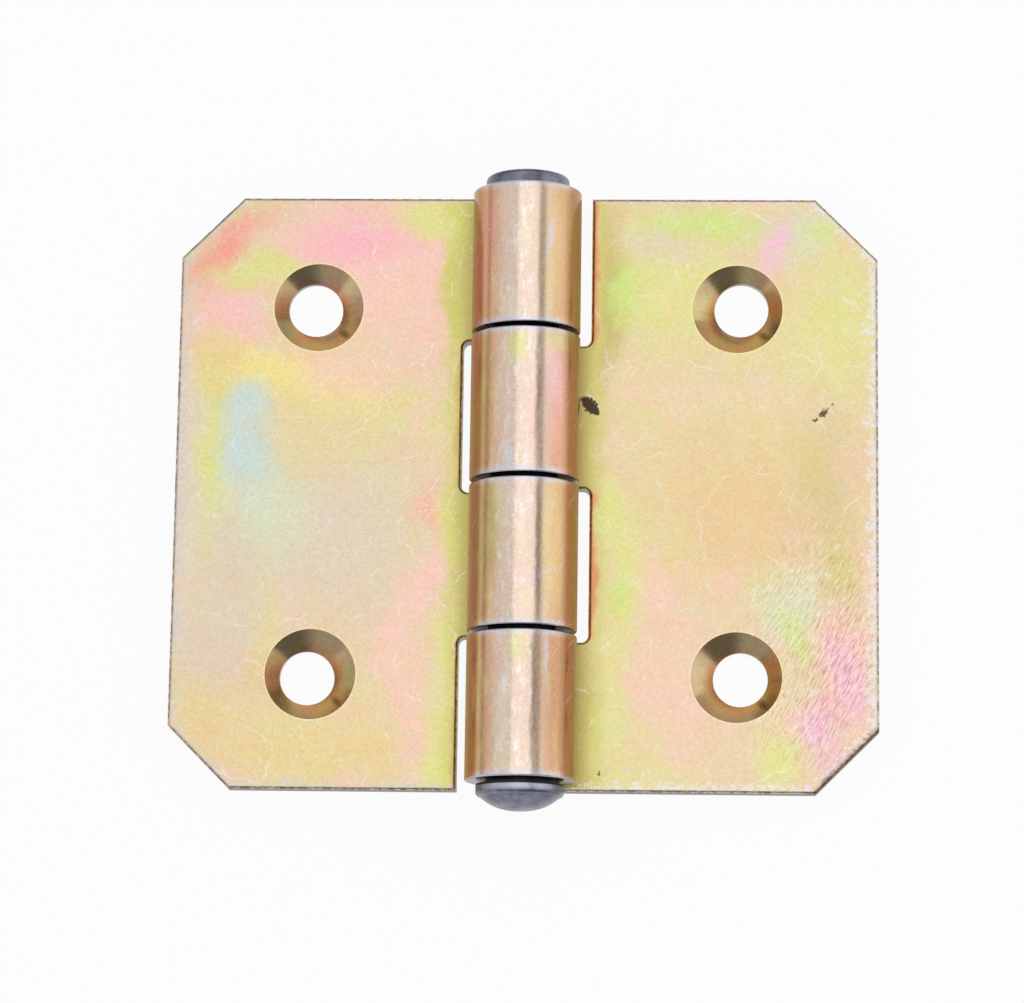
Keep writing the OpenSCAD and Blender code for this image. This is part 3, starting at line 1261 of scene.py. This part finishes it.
        clear = g.math("SUBTRACT", 1.0, g.math("MULTIPLY", sunk, self.sunk_shield))
        shown = g.math("MULTIPLY", g.math("MULTIPLY", scored, clear), self.scratch_amount)
        return g.mix(shown, film, Tint.CHALK.linear)

    def _gap_shade(
        self,
        g: Graph,
        film: bpy.types.NodeSocket,
        at: Place,
        rolled: bpy.types.NodeSocket,
    ) -> bpy.types.NodeSocket:
        """Paint shade on the knuckles' end walls, which face the narrow gaps between the knuckles
        and the pin heads.

        Args:
            g: The material's graph.
            film: The colour so far.
            at: The place on the surface.
            rolled: The mask of the knuckles.

        Returns:
            The colour.
        """
        facing = self.ramps.end_wall_shade.over(g, g.math("ABSOLUTE", at.facing_y))
        return g.mix(g.math("MULTIPLY", facing, rolled), film, Tint.GAP_SHADE.linear)

    def _marks(
        self, g: Graph, effects: Effects, film: bpy.types.NodeSocket, at: Place
    ) -> bpy.types.NodeSocket:
        """Add the few dark spots of burnt film that the right leaf shows.

        Args:
            g: The material's graph.
            effects: The shared node groups.
            film: The colour so far.
            at: The place on the surface.

        Returns:
            The colour.
        """
        if self.side is not Side.RIGHT:
            return film
        ragged = loosen(g, effects.slide, at.spot, (self.mark_wander,))
        return g.mix(at.front, film, lay_patches(g, film, ragged, DARK_MARKS))

    def _speckle(
        self, g: Graph, film: bpy.types.NodeSocket, grain: bpy.types.NodeOutputs
    ) -> bpy.types.NodeSocket:
        """Break the film up with the grain's light and dark.

        Args:
            g: The material's graph.
            film: The colour so far.
            grain: The outputs of the grain.

        Returns:
            The colour.
        """
        level = g.math("ADD", self.film_level, g.math("MULTIPLY", grain["Shade"], self.grain_shade))
        shade = g.node("ShaderNodeCombineColor", {0: level, 1: level, 2: level}).outputs[0]
        return g.mix(1.0, film, shade, "MULTIPLY")


@dataclass(frozen=True)
class RivetSteel:
    """Bare grey steel of the headed pin, dull with handling, with painted shade on the shank and a
    painted highlight on the lower head's rim.

    The ramps of the seats, the rim and the lower half lie along the pin, in millimetres.
    """

    roughness: float = 0.34
    grain_size: float = 0.25
    grain_shade: float = 0.6
    grain_gloss: float = 0.3
    grain_height: float = 0.02
    bump_strength: float = 0.6
    gap_shade_share: float = 0.9
    cloud: Cloud = Cloud(0.5, 3.0, flat=False)
    tarnish: Ramp = Ramp(0.35, 0.65)
    lower_seat: Ramp = Ramp(-30.12, -30.0)
    upper_seat: Ramp = Ramp(29.3, 29.2)
    lower_rim_highlight: Ramp = Ramp(-30.75, -30.35)
    lower_half: Ramp = Ramp(0.0, -1.0)
    rim_highlight_facing: Ramp = Ramp(0.4, 0.95, 0.0, 0.5)

    def material(self, effects: Effects) -> bpy.types.Material:
        """Build the pin's finish.

        Args:
            effects: The shared node groups.

        Returns:
            The material.
        """
        made = bpy.data.materials.new("rivet_steel")
        made.use_nodes = True
        made.node_tree.nodes.clear()
        g = Graph(made.node_tree)
        at = Place.read(g)
        grain = g.group(effects.grain, {"Place": at.spot, "Size": self.grain_size})
        tarnish = self.tarnish.over(g, self.cloud.read(g, at.spot))
        steel = g.mix(tarnish, Tint.SCALE.linear, Tint.STEEL.linear)
        # The shank between the seats is painted near black as shade for the gaps between the
        # knuckles, where it shows.
        shank_shade = self.lower_seat.over(g, at.y)
        shank_shade = g.math("MULTIPLY", shank_shade, self.upper_seat.over(g, at.y))
        steel = g.mix(g.math("MULTIPLY", shank_shade, self.gap_shade_share), steel, Tint.GAP_SHADE.linear)
        # A painted highlight on the lower head's rim, where its face turns upwards.
        rim = self.lower_rim_highlight.over(g, at.y)
        rim = g.math("MULTIPLY", rim, self.lower_half.over(g, at.y))
        rim = g.math("MULTIPLY", rim, g.math("SUBTRACT", 1.0, shank_shade))
        rim = g.math("MULTIPLY", rim, self.rim_highlight_facing.over(g, at.facing_z))
        steel = g.mix(rim, steel, Tint.RIM_HIGHLIGHT.linear)
        level = g.math("ADD", 1.0, g.math("MULTIPLY", grain["Shade"], self.grain_shade))
        factor = g.node("ShaderNodeCombineColor", {0: level, 1: level, 2: level}).outputs[0]
        steel = g.mix(1.0, steel, factor, "MULTIPLY")
        gloss = g.math("MULTIPLY", grain["Shade"], self.grain_gloss)
        rough = g.math("ADD", self.roughness, gloss)
        height = g.math("MULTIPLY", grain["Height"], self.grain_height)
        inputs = {"Height": height, "Distance": MM, "Strength": self.bump_strength}
        bump = g.node("ShaderNodeBump", inputs)
        skin = g.node(
            "ShaderNodeBsdfPrincipled",
            {
                "Base Color": steel,
                "Roughness": rough,
                "Normal": bump.outputs[0],
                "Metallic": 1.0,
            },
        )
        end = g.node("ShaderNodeOutputMaterial")
        g.feed(end.inputs["Surface"], skin.outputs[0])
        return made


def dress(node_name: str, material: bpy.types.Material) -> None:
    """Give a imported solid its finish.

    Args:
        node_name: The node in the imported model.
        material: The finish.
    """
    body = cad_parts[node_name]
    body.data.materials.clear()
    body.data.materials.append(material)
    LOG.info("%s wears %s", node_name, material.name)


@dataclass
class Leaf:
    """One pressed leaf with its two knuckles."""

    finish: PassivatedZinc

    def build(self, effects: Effects) -> None:
        """Dress the leaf's solid.

        Args:
            effects: The shared node groups.
        """
        dress(self.finish.side.value, self.finish.material(effects))


@dataclass
class Pin:
    """The headed rivet through the knuckles."""

    node: str = "pin"

    def build(self, effects: Effects) -> None:
        """Dress the pin's solid.

        Args:
            effects: The shared node groups.
        """
        dress(self.node, RivetSteel().material(effects))


@dataclass
class Table:
    """The white table that the hinge lies on."""

    half_size: float = 4.0
    drop: float = 0.0001
    glow: float = 0.93
    white: float = 0.9

    def build(self) -> None:
        """Build the table top and its material."""
        corners = [(-1, -1), (1, -1), (1, 1), (-1, 1)]
        mesh = bpy.data.meshes.new("table_top")
        points = [(self.half_size * a, self.half_size * b, -self.drop) for a, b in corners]
        mesh.from_pydata(points, [], [(0, 1, 2, 3)])
        top = bpy.data.objects.new("table_top", mesh)
        bpy.context.scene.collection.objects.link(top)
        mesh.materials.append(self._material())
        LOG.info("table top, %.0f m square", 2 * self.half_size)

    def _material(self) -> bpy.types.Material:
        """Build the table's white, which shows white to the eye and keeps a soft shadow.

        Returns:
            The material.
        """
        made = bpy.data.materials.new("white_table")
        made.use_nodes = True
        made.node_tree.nodes.clear()
        g = Graph(made.node_tree)
        path = g.node("ShaderNodeLightPath").outputs
        seen = g.math("MAXIMUM", path["Is Camera Ray"], path["Is Glossy Ray"])
        seen = g.math("MAXIMUM", seen, path["Is Transmission Ray"])
        matt = g.node("ShaderNodeBsdfDiffuse", {"Color": grey(self.white)})
        white = g.node("ShaderNodeEmission", {"Strength": 1.0})
        lit = g.node(
            "ShaderNodeMixShader",
            {0: g.math("MULTIPLY", seen, self.glow), 1: matt.outputs[0], 2: white.outputs[0]},
        )
        clear = g.node("ShaderNodeBsdfTransparent")
        under = g.node("ShaderNodeNewGeometry").outputs["Backfacing"]
        both = g.node(
            "ShaderNodeMixShader", {0: under, 1: lit.outputs[0], 2: clear.outputs[0]}
        )
        end = g.node("ShaderNodeOutputMaterial")
        g.feed(end.inputs["Surface"], both.outputs[0])
        return made


def heading(lean: float, azimuth: float) -> Vector:
    """Work out a direction from its angles.

    Args:
        lean: The angle from straight up, in degrees.
        azimuth: The angle from +X towards +Y, in degrees.

    Returns:
        The unit vector.
    """
    tip, turn = math.radians(lean), math.radians(azimuth)
    return Vector(
        (math.sin(tip) * math.cos(turn), math.sin(tip) * math.sin(turn), math.cos(tip))
    )


@dataclass(frozen=True)
class Softbox:
    """One soft rectangular lamp that faces the hinge."""

    name: str
    lean: float
    azimuth: float
    distance: float
    width: float
    length: float
    radiance: float

    def build(self) -> None:
        """Hang the lamp at its place, facing the hinge."""
        lamp = bpy.data.lights.new(self.name, "AREA")
        lamp.shape = "RECTANGLE"
        lamp.size, lamp.size_y = self.width, self.length
        lamp.energy = self.radiance * math.pi * self.width * self.length
        holder = bpy.data.objects.new(self.name, lamp)
        away = heading(self.lean, self.azimuth)
        holder.location = away * self.distance
        holder.rotation_euler = away.to_track_quat("Z", "Y").to_euler()
        holder.visible_camera = False
        bpy.context.scene.collection.objects.link(holder)
        LOG.info("softbox %s leans %.0f degrees", self.name, self.lean)


@dataclass(frozen=True)
class DarkCorner:
    """A part of the room that no light reaches, as a cone of directions in degrees."""

    lean: float
    azimuth: float
    core: float
    rim: float
    level: float

    def dim(
        self, g: Graph, towards: bpy.types.NodeSocket, level: Value
    ) -> bpy.types.NodeSocket:
        """Lower the room's level in this corner.

        Args:
            g: The world's graph.
            towards: The direction that is looked in.
            level: The level so far.

        Returns:
            The level with the corner in it.
        """
        middle = heading(self.lean, self.azimuth)
        near = g.node("ShaderNodeVectorMath", {0: towards, 1: middle}, operation="DOT_PRODUCT")
        rim, core = math.cos(math.radians(self.rim)), math.cos(math.radians(self.core))
        return g.math("MULTIPLY", level, g.ease(near.outputs["Value"], rim, core, 1.0, self.level))


@dataclass
class Studio:
    """Plain soft light: a pale room with two dark corners, a box overhead, one at each side."""

    room_level: float = 0.44
    corners: tuple[DarkCorner, ...] = (
        DarkCorner(74.0, -54.0, 16.0, 52.0, 0.34),
        DarkCorner(86.0, 134.0, 8.0, 26.0, 0.1),
    )
    boxes: tuple[Softbox, ...] = (
        Softbox("overhead", 5.0, 0.0, 0.60, 0.90, 0.51, 0.81),
        Softbox("right", 66.0, 0.0, 0.60, 0.70, 0.54, 0.66),
        Softbox("left", 50.0, 180.0, 0.60, 0.70, 0.68, 0.41),
    )

    def build(self) -> None:
        """Set the room's level and hang the lamps."""
        world = bpy.data.worlds.new("pale_room")
        world.use_nodes = True
        g = Graph(world.node_tree)
        back = world.node_tree.nodes["Background"]
        towards = g.node("ShaderNodeTexCoord").outputs["Generated"]
        level: Value = self.room_level
        for corner in self.corners:
            level = corner.dim(g, towards, level)
        g.feed(back.inputs["Strength"], level)
        back.inputs["Color"].default_value = grey(1.0)
        scene = bpy.context.scene
        scene.world = world
        scene.view_settings.view_transform = "Standard"
        for box in self.boxes:
            box.build()


@dataclass(frozen=True)
class Viewpoint:
    """The camera's place, fitted to the hinge as it is framed, in millimetres and degrees.

    nearest and farthest bound what it sees, in metres.
    """

    focal_px: float = 3800.0
    image_width_px: float = 1024.0
    sensor_mm: float = 36.0
    tilt: float = 11.02
    yaw: float = -2.329
    roll: float = 0.834
    shift_x: float = 1.394
    shift_y: float = 0.725
    distance: float = 379.503
    nearest: float = 0.01
    farthest: float = 20.0

    def build(self) -> None:
        """Build the camera and make it the scene's."""
        lens = bpy.data.cameras.new("view")
        lens.sensor_fit = "HORIZONTAL"
        lens.sensor_width = self.sensor_mm
        lens.lens = self.sensor_mm * self.focal_px / self.image_width_px
        lens.clip_start, lens.clip_end = self.nearest, self.farthest
        turn = (
            Matrix.Rotation(math.radians(-self.tilt), 3, "X")
            @ Matrix.Rotation(math.radians(self.yaw), 3, "Y")
            @ Matrix.Rotation(math.radians(-self.roll), 3, "Z")
        )
        to_model = turn.transposed()
        eye = to_model @ Vector((-self.shift_x, -self.shift_y, self.distance))
        camera = bpy.data.objects.new("view", lens)
        camera.matrix_world = Matrix.Translation(eye * MM) @ to_model.to_4x4()
        bpy.context.scene.collection.objects.link(camera)
        bpy.context.scene.camera = camera
        LOG.info("camera stands %.0f mm from the hinge", eye.length)


def main() -> None:
    """Build the view, the studio and the hinge's pieces in order."""
    logging.basicConfig(level=logging.INFO, format="%(name)s: %(message)s")
    Viewpoint().build()
    Studio().build()
    Table().build()
    effects = Effects()
    left = PassivatedZinc(
        Side.LEFT, LEFT_STAINS, LEFT_KNUCKLE_PATCHES, edge_tint=Tint.OLIVE, worn_tint=Tint.LILAC
    )
    right = PassivatedZinc(
        Side.RIGHT,
        RIGHT_STAINS,
        RIGHT_KNUCKLE_PATCHES,
        edge_tint=Tint.RUST,
        worn_tint=Tint.CHALK,
        scorched_cut=0.75,
    )
    Leaf(left).build(effects)
    Leaf(right).build(effects)
    Pin().build(effects)


if __name__ == "__main__":
    main()
